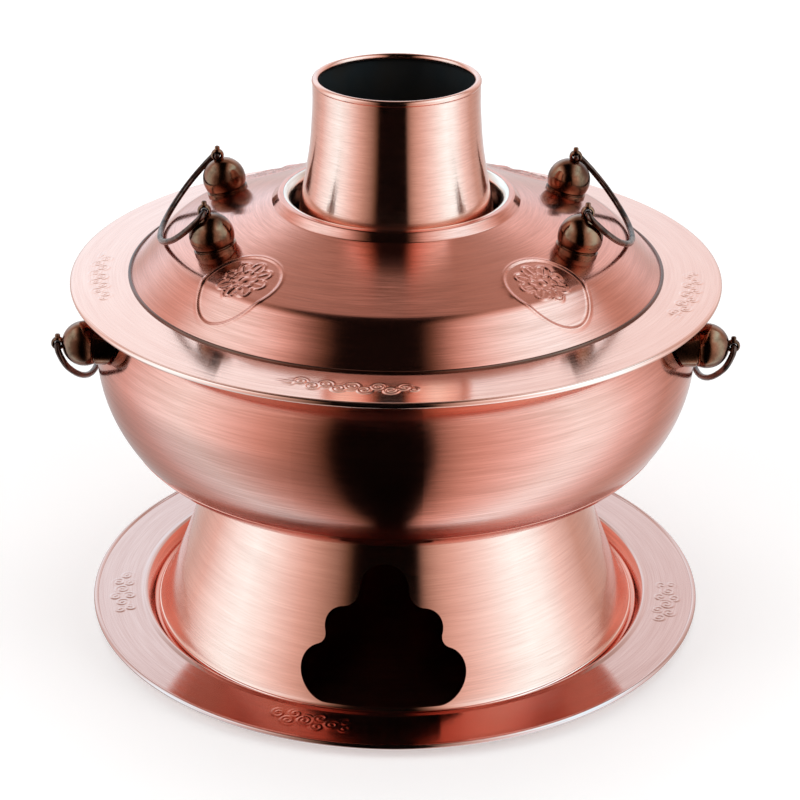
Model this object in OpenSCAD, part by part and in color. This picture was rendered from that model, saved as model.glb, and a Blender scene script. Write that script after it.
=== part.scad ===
// Chimney hot pot: a charcoal-heated pot on a trumpet stand and a shallow tray.
// Millimetres, +Z up. The origin is on the pot's axis, in the plane that the tray stands on.
// The front, with the air vent, faces -Y. The wire bails are on the -X and +X sides.

/* [Sheet] */
// Thickness of the spun sheet of the tray, the bowl and the lid
sheet = 1.0; // [0.8:0.1:1.2]
// Thickness of the stand's sheet
stand_sheet = 1.2; // [1.0:0.1:1.4]
// Air left between parts that lift off each other
rest_gap = 0.3; // [0.2:0.05:0.5]
// Air left between joined pieces of one part
seam = 0.12; // [0.08:0.01:0.2]

/* [Tray] */
// Outer radius of the tray's flange
tray_r = 158; // [155:1:164]
// Height of the rim of the tray's well
tray_lip_z = 8.2; // [7.4:0.1:9]
// Radius of the tray's rolled edge
tray_bead_r = 1.3; // [1.1:0.1:1.5]

/* [Stand] */
// Width of the air vent against its drawn width
vent_scale = 1; // [0.85:0.01:1.05]
// Turn of the air vent about the pot's axis
vent_turn = -2.8; // [-6:0.1:6]
// Radius of the stand's rolled foot
foot_bead_r = 1.2; // [1:0.1:1.3]
// Width of the stand's inner flange under the bowl
stand_flange = 14; // [10:1:20]

/* [Bowl] */
// Outer radius of the bowl's flange
flange_r = 160; // [157:1:163]
// Radius of the flange's rolled edge
flange_bead_r = 1.4; // [1.2:0.1:1.6]

/* [Fire tube] */
// Outer radius of the fire tube where it leaves the bowl's floor
tube_low_r = 57; // [54:1:60]
// Outer radius of the fire tube at its top
tube_top_r = 44.3; // [43.5:0.1:44.6]
// Radius of the bead that carries the chimney
tube_bead_r = 2.2; // [2:0.1:2.5]
// Height of the grate inside the fire tube
grate_z = 97; // [94:1:105]
// Thickness of the grate
grate_t = 3; // [2:0.5:4]
// Radius of one hole of the grate
grate_hole_r = 3.2; // [2.4:0.1:3.6]

/* [Chimney] */
// Height of the chimney's rim above the table
chimney_top_z = 280.9; // [270:0.1:292]
// Radius of the chimney's rolled rim
chimney_bead_r = 1.7; // [1.4:0.1:1.9]

/* [Lid] */
// Depth of the ring that keeps the lid in the bowl's mouth
lid_ring_depth = 10; // [7:0.5:14]
// Outer radius of that ring
lid_ring_r = 126.5; // [124:0.5:127]
// Radius of the lid's hemmed edge
lid_bead_r = 0.9; // [0.8:0.05:1]
// Lowest point of the steel collar
collar_low_z = 210; // [207.5:0.5:214]

/* [Posts] */
// Radius of a post's ball
ball_r = 10.8; // [10:0.1:11]
// Distance between the two posts of a pair on the lid
lid_post_span = 80; // [79:0.5:81]
// Distance between the two posts of a pair on the bowl
bowl_post_span = 100; // [98:0.5:101]
// Outward tilt of the lid's posts
lid_post_tilt = 14; // [12:0.5:15]
// Outer radius of a post's eye
eye_r = 3.3; // [3.1:0.1:3.6]
// Thickness of a post's eye
eye_t = 3; // [2.6:0.1:3.4]
// Running clearance of the wire in the eye, on the radius
eye_play = 0.08; // [0.04:0.01:0.1]
// Radius of a post's threaded shank
shank_r = 2; // [1.8:0.1:2.2]

/* [Bails] */
// Radius of the bail wire
wire_r = 1.5; // [1.3:0.05:1.6]
// Reach of a lid bail from its hinge line
lid_bail_reach = 36; // [34:0.5:37]
// Reach of a bowl bail from its hinge line
bowl_bail_reach = 34; // [33:0.5:35]
// Half of the angle that a lid bail's shallow bottom arc spans
lid_bail_turn = 37.7; // [34:0.1:42]
// Half of the angle that a bowl bail's shallow bottom arc spans
bowl_bail_turn = 45; // [42:0.5:47]

/* [Hidden] */
ball_cut = 4.8;
base_r = 9.5;
neck_r = 8.6;
neck_h = 0.45;
eye_out = ball_r + wire_r + 0.4;
saddle_h = 17;
lid_washer_top = 7.8 + sheet;
lid_ball_x = 87;
lid_ball_z = 215.2;
bowl_ball_x = 148.7;
bowl_ball_z = 163.6;
washer_r = 5;
washer_t = 1;
nut_r = 4;
nut_t = 3;
shank_play = 0.1;
lid_post_y = lid_post_span / 2;
bowl_post_y = bowl_post_span / 2;
lid_bail_half = lid_post_y + 6.5;
bowl_bail_half = bowl_post_y + 5;
bail_bend = 3;
bail_end = eye_t / 2 + 2;
knee_gap = 0.05;
knee_swell = 0.03;

// Tray: top side of the sheet, from the axis to the edge.
tray_top = [
  [0, sheet], [125.8, sheet], [126.8, sheet + 0.5], [129.2, tray_lip_z - 1.6],
  [130.3, tray_lip_z - 0.35], [131.6, tray_lip_z], [133, tray_lip_z - 0.25],
  [136, tray_lip_z - 0.6], [tray_r - tray_bead_r, tray_lip_z - 1.3]
];

// Stand: outer side of the sheet, from the flange under the bowl down to the foot.
bowl_floor_z = 86.9;
stand_out = [
  [93.1 - stand_flange, bowl_floor_z - seam], [91.5, bowl_floor_z - seam],
  [92.6, bowl_floor_z - 0.45], [93.2, bowl_floor_z - 1.4], [95.2, 76], [98.0, 66],
  [100.4, 59], [102.9, 52], [105.2, 45], [107.7, 38], [110.3, 31], [113.2, 24],
  [115.6, 18], [118.2, 12], [120.2, 8], [122.4, 4.6], [124.2, 2.9]
];

// Bowl: the centres and outer radii of the shoulder, the belly and the turn to the floor.
shoulder = [107.4, 146];
shoulder_r = 42.6;
belly = [78, 146];
belly_r = 72;
turn = [112, 121];
turn_r = 30;

// Bowl: the fold from the flange into the mouth, and the height of the flange's edge.
fold = [129.4, 182.93];
fold_r = 1.4;
flange_edge_z = 183.1;

// Bowl: angles at which the rim ends and the wall ends, and the gaps between the three rings.
fold_turn = 239.2;
mouth_turn = 59.2;
rim_turn = 53.8;
rim_gap = 0.25;
belly_turn = -36.2;
wall_turn = -47;
wall_gap = 0.35;
floor_turn = -79.25;

// Bowl rim: inner side of the sheet, from the edge of the flange over the fold into the shoulder.
bowl_rim_in = concat(
  [[flange_r - flange_bead_r, flange_edge_z]],
  arc(fold, fold_r, 90, fold_turn, 6),
  arc(shoulder, shoulder_r - sheet, mouth_turn, rim_turn, 1)
);

// Bowl wall: inner side of the sheet, round the shoulder and down the belly.
bowl_wall_in = concat(
  arc(shoulder, shoulder_r - sheet, rim_turn - rim_gap, 0, 10),
  tail(arc(belly, belly_r - sheet, 0, belly_turn, 8)),
  tail(arc(turn, turn_r - sheet, belly_turn, wall_turn, 2))
);

// Bowl floor: inner side of the sheet, from the foot of the wall to the fire tube.
bowl_floor_in = concat(
  arc(turn, turn_r - sheet, wall_turn - wall_gap, floor_turn, 6),
  [[93.1, bowl_floor_z + sheet], [tube_low_r + seam, bowl_floor_z + sheet]]
);

// Lid: top side of the sheet, from the neck to the edge.
neck_z = 223.5;
lid_top = [
  [55, neck_z], [56, neck_z], [57.5, 222.95], [59.1, 221.6], [60.5, 219.5],
  [112, 202.7], [117.2, 198.1], [122.1, 193.5], [126.6, 189.1], [130.7, 185.2]
];

// Steel collar: inner side of the sheet, from the neck downwards.
collar_in = [
  [55 - seam, 223.5], [54.4, 223.5], [53.6, 223.2], [52.8, 222.5], [51.9, 221.5], [51.4, 220.3],
  [51.4, collar_low_z]
];

// Chimney: outer side of the sheet, from the foot to the rim.
chimney_out = [
  [48.2, 212], [47.7, 214.5], [47.1, 218], [46.5, 221.7], [45.4, 227], [44.2, 233],
  [43.0, 240], [42.2, 245], [41.4, 252], [40.8, 260], [40.3, 268],
  [40.3, chimney_top_z - chimney_bead_r]
];

// Points on an arc about c, from angle a0 to angle a1 in n steps.
function arc(c, r, a0, a1, n) = [
  for (i = [0:n]) c + r * [cos(a0 + (a1 - a0) * i / n), sin(a0 + (a1 - a0) * i / n)]
];

// A list without its first point.
function tail(p) = [for (i = [1:len(p) - 1]) p[i]];

// Unit vector from p to q.
function unit(p, q) = (q - p) / norm(q - p);

// Unit normal on the right of a direction.
function right(d) = [d[1], -d[0]];

// The side of a line that lies t to its right, mitred at every corner.
function side(p, t) = [
  for (i = [0:len(p) - 1])
    let (
      a = i == 0 ? unit(p[0], p[1]) : unit(p[i - 1], p[i]),
      b = i == len(p) - 1 ? a : unit(p[i], p[i + 1]),
      m = right(a) + right(b)
    )
    p[i] + m * (2 * t / (m * m))
];

// A list in reverse order.
function back(p) = [for (i = [len(p) - 1:-1:0]) p[i]];

// A sheet of thickness t on the right of a line, turned about the axis.
module spun(p, t) {
  rotate_extrude()
    polygon(concat(p, back(side(p, t))));
}

// A round bead turned about the axis.
module bead(x, z, r) {
  rotate_extrude()
    translate([x, z])
      circle(r);
}

// Everything under the top side of the lid.
below_lid_z = 150;
lid_edge_r = 130.7;
module under_lid(gap) {
  rotate_extrude($fn = 360)
    polygon(concat([[0, below_lid_z], [0, neck_z + gap]], [for (p = lid_top) p + [0, gap]],
      [[lid_edge_r, below_lid_z]]));
}

// The lid's sheet and all above it.
above_lid_z = 260;
inside_neck_r = 40;
outside_lid_r = 140;
outside_lid_z = 184;
module over_lid_underside(gap) {
  rotate_extrude()
    polygon(concat([[inside_neck_r, above_lid_z], [inside_neck_r, neck_z - sheet - gap]],
      [for (p = side(lid_top, sheet)) p - [0, gap]],
      [[outside_lid_r, outside_lid_z], [outside_lid_r, above_lid_z]]));
}

// A ring whose outside is the outer side of the bowl's shoulder.
module inside_shoulder(gap) {
  rotate_extrude($fn = 360)
    translate(shoulder)
      circle(shoulder_r + gap, $fn = 240);
}

// Centre of a circle of radius r that touches two circles from outside.
function touch(p, rp, q, rq, r) =
  let (
    d = norm(q - p),
    u = (q - p) / d,
    a = (d * d + pow(rp + r, 2) - pow(rq + r, 2)) / (2 * d),
    h = sqrt(pow(rp + r, 2) - a * a)
  )
  p + u * a + [u[1], -u[0]] * h;

low_lobe = [27, 18];
low_lobe_r = 13;
mid_lobe = [18.5, 39];
mid_lobe_r = 10;
top_lobe = [0, 57.8];
top_lobe_r = 11.7;
notch_r = 2.6;
low_notch = touch(low_lobe, low_lobe_r, mid_lobe, mid_lobe_r, notch_r);
high_notch = touch(mid_lobe, mid_lobe_r, top_lobe, top_lobe_r, notch_r);

// One half of the vent's cloud outline.
module half_cloud() {
  difference() {
    union() {
      polygon([[0, 5], [low_lobe[0], 5], low_lobe, low_notch, mid_lobe, high_notch, top_lobe]);
      translate(low_lobe)
        circle(low_lobe_r);
      translate(mid_lobe)
        circle(mid_lobe_r);
    }
    translate(low_notch)
      circle(notch_r);
    translate(high_notch)
      circle(notch_r);
  }
}

// The vent's cloud outline with five lobes and a flat foot.
module cloud() {
  scale([vent_scale, 1])
    union() {
      half_cloud();
      mirror([1, 0])
        half_cloud();
      translate(top_lobe)
        circle(top_lobe_r);
    }
}

module tray() {
  color("#b87562")
  union() {
    spun(tray_top, sheet);
    bead(tray_r - tray_bead_r, tray_lip_z - 1.8, tray_bead_r);
  }
}

module stand() {
  color("#b07060")
  difference() {
    union() {
      spun(stand_out, stand_sheet);
      bead(123.2, sheet + rest_gap + foot_bead_r, foot_bead_r);
    }
    rotate([0, 0, vent_turn])
      rotate([90, 0, 0])
        translate([0, 0, 60])
          linear_extrude(80)
            cloud();
  }
}

shank_cut = 40;

module bowl_rim() {
  color("#b87562") {
    spun(bowl_rim_in, -sheet);
    bead(flange_r - flange_bead_r, flange_edge_z - sheet / 2, flange_bead_r);
  }
}

module bowl() {
  color("#b87562")
  difference() {
    spun(bowl_wall_in, -sheet);
    bowl_posts()
      translate([0, 0, 10 - shank_cut])
        cylinder(r = shank_r + shank_play, h = shank_cut);
  }
}

module bowl_floor() {
  color("#b87562")
    spun(bowl_floor_in, -sheet);
}

tube_low_z = 83;
tube_top_z = 224;
tube_bead_z = 211.7 - tube_bead_r;

module fire_tube() {
  color("#8f5a4c")
  difference() {
    union() {
      translate([0, 0, tube_low_z])
        cylinder(r1 = tube_low_r - 0.1, r2 = tube_top_r, h = tube_top_z - tube_low_z);
      bead(46.9, tube_bead_z, tube_bead_r);
    }
    translate([0, 0, tube_low_z - 1])
      cylinder(r1 = tube_low_r - 0.1 - sheet, r2 = tube_top_r - sheet, h = tube_top_z - tube_low_z + 2);
  }
}

function tube_in(z) =
  tube_low_r - 0.1 - sheet - (tube_low_r - 0.1 - tube_top_r) * (z - tube_low_z) / (tube_top_z - tube_low_z);

module grate_ring() {
  color("#5a5552")
  difference() {
    translate([0, 0, grate_z - 4])
      cylinder(r1 = tube_in(grate_z - 4) - 0.15, r2 = tube_in(grate_z) - 0.15, h = 4 - seam);
    translate([0, 0, grate_z - 5])
      cylinder(r = tube_in(grate_z) - 6, h = 8);
  }
}

module grate() {
  color("#4a4644")
  difference() {
    translate([0, 0, grate_z])
      cylinder(r = tube_in(grate_z + grate_t) - 0.5, h = grate_t);
    translate([0, 0, grate_z - 1])
      cylinder(r = grate_hole_r, h = grate_t + 2);
    for (ring = [[6, 11], [12, 22], [18, 33], [18, 42]])
      for (i = [0:ring[0] - 1])
        rotate([0, 0, (i + (ring[1] == 42 ? 0.5 : 0)) * 360 / ring[0]])
          translate([ring[1], 0, grate_z - 1])
            cylinder(r = grate_hole_r, h = grate_t + 2);
  }
}

module chimney() {
  color("#b87562")
  union() {
    spun(chimney_out, -sheet);
    bead(40.6 - chimney_bead_r, chimney_top_z - chimney_bead_r, chimney_bead_r);
  }
}

module lid() {
  color("#b87562")
  difference() {
    union() {
      spun(lid_top, sheet);
      bead(130.8, 184.24 + rest_gap + lid_bead_r, lid_bead_r);
    }
    lid_posts()
      translate([0, 0, -14])
        cylinder(r = shank_r + shank_play, h = 14);
  }
}

module lid_ring() {
  color("#a86a58")
  difference() {
    translate([0, 0, 187 - lid_ring_depth])
      cylinder(r = lid_ring_r, h = lid_ring_depth + 6);
    translate([0, 0, 186 - lid_ring_depth])
      cylinder(r = lid_ring_r - sheet, h = lid_ring_depth + 9);
    over_lid_underside(seam);
  }
}

module lid_collar() {
  color("#b9b9b6")
  spun(back(collar_in), sheet);
}

// The four places of the lid's posts, each with its axis along +Z through the ball's centre.
module lid_posts() {
  for (sx = [-1, 1])
    for (sy = [-1, 1])
      translate([sx * lid_ball_x, sy * lid_post_y, lid_ball_z])
        rotate([0, sx * lid_post_tilt, 0])
          children();
}

// The two places of the lid's posts on one side.
module lid_pair(sx) {
  for (sy = [-1, 1])
    translate([sx * lid_ball_x, sy * lid_post_y, lid_ball_z])
      rotate([0, sx * lid_post_tilt, 0])
        children();
}

// The four places of the bowl's posts, each with its axis along +Z through the ball's centre.
module bowl_posts() {
  for (sx = [-1, 1])
    bowl_pair(sx)
      children();
}

// The two places of the bowl's posts on one side.
module bowl_pair(sx) {
  for (sy = [-1, 1])
    translate([sx * bowl_ball_x, sy * bowl_post_y, bowl_ball_z])
      rotate([0, sx * 90, 0])
        children();
}

// A ball with a flat foot, a bore for the shank and a seat for the eye.
module ball() {
  difference() {
    sphere(ball_r);
    translate([-20, -20, -40 - ball_cut])
      cube([40, 40, 40]);
    translate([0, eye_t / 2 + seam, eye_out])
      rotate([90, 0, 0])
        cylinder(r = eye_r + seam, h = eye_t + 2 * seam);
    translate([0, 0, -20])
      cylinder(r = shank_r + shank_play, h = 40);
  }
}

// A foot ring with a narrow neck, before it is cut to the sheet.
module foot() {
  difference() {
    union() {
      translate([0, 0, -ball_cut - saddle_h])
        cylinder(r = neck_r, h = saddle_h - seam);
      translate([0, 0, -ball_cut - saddle_h])
        cylinder(r = base_r, h = saddle_h - seam - neck_h);
    }
    translate([0, 0, -20])
      cylinder(r = shank_r + shank_play, h = 20);
  }
}

// An eye on a threaded shank that goes down to z = -low.
module eye_bolt(low) {
  difference() {
    union() {
      translate([0, eye_t / 2, eye_out])
        rotate([90, 0, 0])
          cylinder(r = eye_r, h = eye_t);
      translate([0, 0, -low])
        cylinder(r = shank_r, h = low + eye_out - wire_r - eye_play - 0.6);
    }
    translate([0, 20, eye_out])
      rotate([90, 0, 0])
        cylinder(r = wire_r + eye_play, h = 40);
  }
}

// A flat washer under z = -top.
module washer(top) {
  translate([0, 0, -top - washer_t])
    difference() {
      cylinder(r = washer_r, h = washer_t);
      translate([0, 0, -1])
        cylinder(r = shank_r + shank_play, h = washer_t + 2);
    }
}

// A hexagon nut under z = -top.
module nut(top) {
  translate([0, 0, -top - nut_t])
    difference() {
      linear_extrude(nut_t)
        polygon([for (i = [0:5]) [nut_r * cos(60 * i), nut_r * sin(60 * i)]]);
      translate([0, 0, -1])
        cylinder(r = shank_r + 0.05, h = nut_t + 2);
    }
}

// A stretch of bail wire round (y, z), from angle a0 to angle a1 in the YZ plane.
module wire_arc(y, z, r, a0, a1) {
  trim = knee_gap / r * 180 / PI;
  translate([0, y, z])
    rotate([90, 0, 90])
      rotate([0, 0, a0 + trim])
        rotate_extrude(angle = a1 - a0 - 2 * trim)
          translate([r, 0])
            circle(wire_r);
}

// The place where two stretches of wire meet.
module knee(y, z) {
  translate([0, y, z])
    sphere(wire_r + knee_swell);
}

// What the radii of a bail's outline share, where its bottom arc spans t either way.
function bail_share(t) = sin(t) * cos(t) - (1 - sin(t)) * (1 - cos(t));

// Radius of the bottom arc of a bail of half width a and that reach.
function bottom_r(a, reach, t) = (a * cos(t) - (reach - bail_bend) * (1 - sin(t))) / bail_share(t);

// Radius of the two side arcs of a bail of half width a and that reach.
function side_r(a, reach, t) = ((reach - bail_bend) * sin(t) - a * (1 - cos(t))) / bail_share(t);

// The side of a bail at +Y: its side arc, its bend and the end that turns in the eye.
module half_bail(a, reach, t, post_y) {
  low_r = bottom_r(a, reach, t);
  arc_r = side_r(a, reach, t);
  knee(low_r * sin(t), low_r * (1 - cos(t)) - reach);
  wire_arc(a - arc_r, -bail_bend, arc_r, t - 90, 0);
  knee(a, -bail_bend);
  wire_arc(a - bail_bend, -bail_bend, bail_bend, 0, 90);
  knee(a - bail_bend, 0);
  translate([0, post_y - bail_end, 0])
    rotate([-90, 0, 0])
      cylinder(r = wire_r, h = a - bail_bend - post_y + bail_end - knee_gap);
}

// A bail with its hinge line on Y and its loop along -Z.
module bail(a, reach, t, post_y) {
  wire_arc(0, bottom_r(a, reach, t) - reach, bottom_r(a, reach, t), -90 - t, -90 + t);
  half_bail(a, reach, t, post_y);
  mirror([0, 1, 0])
    half_bail(a, reach, t, post_y);
}

lid_eye_x = lid_ball_x + eye_out * sin(lid_post_tilt);
lid_eye_z = lid_ball_z + eye_out * cos(lid_post_tilt);
bowl_eye_x = bowl_ball_x + eye_out;

// X of the inner side of the bowl's shoulder at a given Y and Z.
function shoulder_in(y, z) =
  sqrt(pow(shoulder[0] + sqrt(pow(shoulder_r - sheet, 2) - pow(z - shoulder[1], 2)), 2) - y * y);

// Distance from a bowl post's ball to its washer, which bears on the shoulder with its upper outer edge.
washer_edge = 53;
bowl_washer_top = seam + bowl_ball_x
  - shoulder_in(bowl_post_y + washer_r * cos(washer_edge), bowl_ball_z + washer_r * sin(washer_edge));

// Slope of the lid's skirt beside its crease, and the hinge line's height over it.
skirt = unit(lid_top[5], lid_top[6]);
skirt_slope = atan2(-skirt[1], skirt[0]);
lid_eye_over = ([lid_eye_x, lid_eye_z] - lid_top[5]) * [-skirt[1], skirt[0]];

// Angle below the horizontal at which a lid bail's wire just clears the skirt.
lid_rest = skirt_slope + asin((lid_eye_over - wire_r - rest_gap) / lid_bail_reach);

// Lean from the vertical at which a bowl bail's wire just clears the belly.
belly_run = norm([bowl_eye_x, bowl_ball_z] - belly);
belly_near = belly_r + wire_r + rest_gap;
belly_angle = acos(
  (pow(belly_run, 2) + pow(bowl_bail_reach, 2) - pow(belly_near, 2)) / (2 * belly_run * bowl_bail_reach)
);
bowl_rest = 90 - belly_angle - atan2(bowl_ball_z - belly[1], bowl_eye_x - belly[0]);

// A bail on the lid's eyes, turned to where it rests.
module lid_bail(sx) {
  translate([sx * lid_eye_x, 0, lid_eye_z])
    rotate([0, -sx * (90 - lid_rest), 0])
      bail(lid_bail_half, lid_bail_reach, lid_bail_turn, lid_post_y);
}

// A bail on the bowl's eyes, turned to where it hangs.
module bowl_bail(sx) {
  translate([sx * bowl_eye_x, 0, bowl_ball_z])
    rotate([0, sx * bowl_rest, 0])
      bail(bowl_bail_half, bowl_bail_reach, bowl_bail_turn, bowl_post_y);
}

module lid_balls() {
  color("#4a352c")
  lid_posts()
    ball();
}

module lid_feet() {
  color("#4a352c")
  difference() {
    lid_posts()
      foot();
    under_lid(seam);
  }
}

module lid_eyes_left() {
  color("#4a352c")
  lid_pair(-1)
    eye_bolt(lid_washer_top + washer_t + nut_t + 1.2);
}

module lid_eyes_right() {
  color("#4a352c")
  lid_pair(1)
    eye_bolt(lid_washer_top + washer_t + nut_t + 1.2);
}

module lid_washers() {
  color("#8a8682")
  lid_posts()
    washer(lid_washer_top);
}

module lid_nuts() {
  color("#8a8682")
  lid_posts()
    nut(lid_washer_top + washer_t + seam);
}

module bowl_balls() {
  color("#4a352c")
  bowl_posts()
    ball();
}

module bowl_feet() {
  color("#4a352c")
  difference() {
    bowl_posts()
      foot();
    inside_shoulder(seam);
  }
}

module bowl_eyes_left() {
  color("#4a352c")
  bowl_pair(-1)
    eye_bolt(bowl_washer_top + washer_t + nut_t + 1.2);
}

module bowl_eyes_right() {
  color("#4a352c")
  bowl_pair(1)
    eye_bolt(bowl_washer_top + washer_t + nut_t + 1.2);
}

module bowl_washers() {
  color("#8a8682")
  bowl_posts()
    washer(bowl_washer_top);
}

module bowl_nuts() {
  color("#8a8682")
  bowl_posts()
    nut(bowl_washer_top + washer_t + seam);
}

module lid_bail_left() {
  color("#3c3836")
  lid_bail(-1);
}

module lid_bail_right() {
  color("#3c3836")
  lid_bail(1);
}

module bowl_bail_left() {
  color("#3c3836")
  bowl_bail(-1);
}

module bowl_bail_right() {
  color("#3c3836")
  bowl_bail(1);
}

tray();
stand();
bowl_rim();
bowl();
bowl_floor();
fire_tube();
grate_ring();
grate();
chimney();
lid();
lid_ring();
lid_collar();
lid_balls();
lid_feet();
lid_eyes_left();
lid_eyes_right();
lid_washers();
lid_nuts();
bowl_balls();
bowl_feet();
bowl_eyes_left();
bowl_eyes_right();
bowl_washers();
bowl_nuts();
lid_bail_left();
lid_bail_right();
bowl_bail_left();
bowl_bail_right();
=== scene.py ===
import math

import bpy
import numpy as np
from mathutils import Euler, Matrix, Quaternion


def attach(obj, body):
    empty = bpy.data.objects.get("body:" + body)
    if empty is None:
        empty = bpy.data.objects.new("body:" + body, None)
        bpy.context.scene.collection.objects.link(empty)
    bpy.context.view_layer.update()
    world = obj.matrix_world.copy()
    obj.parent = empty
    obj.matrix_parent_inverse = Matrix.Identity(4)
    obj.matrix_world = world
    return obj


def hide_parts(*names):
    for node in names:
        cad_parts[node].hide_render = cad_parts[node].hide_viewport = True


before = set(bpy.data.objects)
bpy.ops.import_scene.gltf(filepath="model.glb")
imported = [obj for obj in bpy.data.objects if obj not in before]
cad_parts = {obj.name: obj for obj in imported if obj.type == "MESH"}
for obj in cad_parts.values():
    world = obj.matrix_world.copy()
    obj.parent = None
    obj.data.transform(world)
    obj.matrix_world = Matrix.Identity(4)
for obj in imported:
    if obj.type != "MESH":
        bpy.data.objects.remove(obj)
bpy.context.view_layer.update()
mm = 0.001
fullTurn = 2 * np.pi
print("frame loaded:", len(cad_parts), "nodes")


# ---- lines in the (radius, height) plane, all in millimetres ----

def arcPoints(centre, radius, start, end, count):
    # centre + radius * (cos a, sin a), with a going from start to end in degrees
    a = np.radians(np.linspace(start, end, count))
    return np.stack([centre[0] + radius * np.cos(a), centre[1] + radius * np.sin(a)], -1)


def joinLines(*lines):
    # one line out of several, without doubled points
    line = np.concatenate([np.atleast_2d(np.asarray(p, float)) for p in lines])
    keep = np.r_[True, np.linalg.norm(np.diff(line, axis=0), axis=1) > 1e-5]
    return line[keep]


def filletLine(corners, radii, step=8):
    # a polyline whose inner corners are arcs tangent to both legs
    corners = np.asarray(corners, float)
    parts = [corners[:1]]
    for before, corner, after, radius in zip(corners, corners[1:], corners[2:], radii):
        a = (before - corner) / np.linalg.norm(before - corner)
        b = (after - corner) / np.linalg.norm(after - corner)
        half = math.acos(np.clip(a @ b, -1, 1)) / 2
        reach = radius / math.tan(half)
        t = np.linspace(0, 1, step)[:, None]
        start, end = corner + a * reach, corner + b * reach
        middle = corner + (a + b) / np.linalg.norm(a + b) * radius / math.sin(half)
        u, v = start - middle, end - middle
        swing = math.pi - 2 * half
        parts.append(middle + (np.sin((1 - t) * swing) * u + np.sin(t * swing) * v) / math.sin(swing))
    parts.append(corners[-1:])
    return joinLines(*parts)


def splineLine(points, perSpan):
    # a smooth line through the points: cubic pieces whose slopes are those of their neighbours
    p = np.asarray(points, float)
    ends = np.vstack([2 * p[0] - p[1], p, 2 * p[-1] - p[-2]])
    t = np.linspace(0, 1, perSpan, endpoint=False)[:, None, None]
    a, b, c, d = ends[:-3], ends[1:-2], ends[2:-1], ends[3:]
    s = 0.5 * (2 * b + (c - a) * t + (2 * a - 5 * b + 4 * c - d) * t ** 2 + (3 * b - a - 3 * c + d) * t ** 3)
    return np.vstack([s.transpose(1, 0, 2).reshape(-1, 2), p[-1]])


def refineLine(line, low, high, step):
    # the same line with a point every step where its radius lies between low and high
    out = [line[:1]]
    for p, q in zip(line, line[1:]):
        dense = low < (p[0] + q[0]) / 2 < high or (min(p[0], q[0]) < low and max(p[0], q[0]) > high)
        n = max(1, int(np.ceil(np.linalg.norm(q - p) / (step if dense else 6))))
        out.append(p + (q - p) * np.linspace(0, 1, n + 1)[1:, None])
    return np.concatenate(out)


def lineNormals(line):
    # unit normals on the left of a line, the mean of its two neighbouring stretches
    d = np.diff(line, axis=0)
    d /= np.linalg.norm(d, axis=1)[:, None]
    n = np.stack([-d[:, 1], d[:, 0]], -1)
    m = np.vstack([n[:1], n[:-1] + n[1:], n[-1:]])
    return m / np.linalg.norm(m, axis=1)[:, None]


def lipPoints(first, last, count=5):
    # a half circle from the end of one side of a sheet to the end of the other, bulging to the right
    middle, arm = (first + last) / 2, (first - last) / 2
    out = np.array([arm[1], -arm[0]])
    a = np.linspace(0, np.pi, count + 2)[1:-1, None]
    return middle + arm * np.cos(a) + out * np.sin(a)


def sheetLoop(line, thickness, twin=None):
    # a sheet's outline: the line, its far end, the side that lies thickness to its left, and its near end;
    # a twin is the same line with more or fewer points, from which the far side is laid
    base = line if twin is None else twin
    other = (base + lineNormals(base) * thickness)[::-1]
    return joinLines(line, lipPoints(line[-1], other[0]), other, lipPoints(other[-1], line[0]))


# ---- meshes ----

def makeObject(name, points, faces, sharpAngle=40):
    mesh = bpy.data.meshes.new(name)
    mesh.from_pydata(np.asarray(points).tolist(), [], faces)
    mesh.validate()
    mesh.shade_smooth()
    mesh.set_sharp_from_angle(angle=math.radians(sharpAngle))
    obj = bpy.data.objects.new(name, mesh)
    bpy.context.scene.collection.objects.link(obj)
    return obj


def gridFaces(rows, cols, closeRows, closeCols):
    # quads between neighbouring rows and columns of a grid of points
    i = np.arange(rows if closeRows else rows - 1)[:, None]
    j = np.arange(cols if closeCols else cols - 1)[None, :]
    i2, j2 = (i + 1) % rows, (j + 1) % cols
    quads = np.stack([i * cols + j + 0 * i2, i * cols + j2, i2 * cols + j2, i2 * cols + j], -1)
    return quads.reshape(-1, 4)


def spinShell(outline, angles, relief=None, closed=True):
    # (r cos a, r sin a, z) for every outline point and angle; an open outline starts and ends on the axis;
    # relief(r, a, facing) raises the surface along its normal, and facing is below 0 on its upper side
    outline = np.asarray(outline, float)
    nextPoint = np.roll(outline, -1, 0)
    if np.sum(outline[:, 0] * nextPoint[:, 1] - nextPoint[:, 0] * outline[:, 1]) < 0:
        outline = outline[::-1]
    a = np.radians(angles)[None, :]
    r, z = outline[:, :1] + 0 * a, outline[:, 1:] + 0 * a
    if relief is not None:
        turned = (np.roll(outline, -1, 0) - np.roll(outline, 1, 0))
        turned /= np.linalg.norm(turned, axis=1)[:, None]
        height = relief(r, a + 0 * r, turned[:, :1] * (turned[:, :1] < -0.6) + 0 * a)
        r, z = r + turned[:, 1:] * height, z - turned[:, :1] * height
    points = np.stack([r * np.cos(a), r * np.sin(a), z], -1).reshape(-1, 3)
    faces = gridFaces(len(outline), len(angles), closed, True)
    if closed:
        return points, faces.tolist()
    cols = len(angles)
    first, last = np.arange(cols), (len(outline) - 1) * cols + np.arange(cols)
    index = np.arange(len(points))
    index[first], index[last] = first[0], last[0]
    faces = [list(dict.fromkeys(f)) for f in index[faces].tolist()]
    used = np.unique(np.concatenate(faces))
    renumber = np.zeros(len(points), int)
    renumber[used] = np.arange(len(used))
    return points[used], [renumber[f].tolist() for f in faces]


def merged(shells):
    # several shells as one list of points and one list of faces
    points, faces, base = [], [], 0
    for p, f in shells:
        points.append(p)
        faces += [[v + base for v in face] for face in f]
        base += len(p)
    return np.concatenate(points), faces


def evenAngles(count):
    return np.arange(count) * 360 / count


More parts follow.
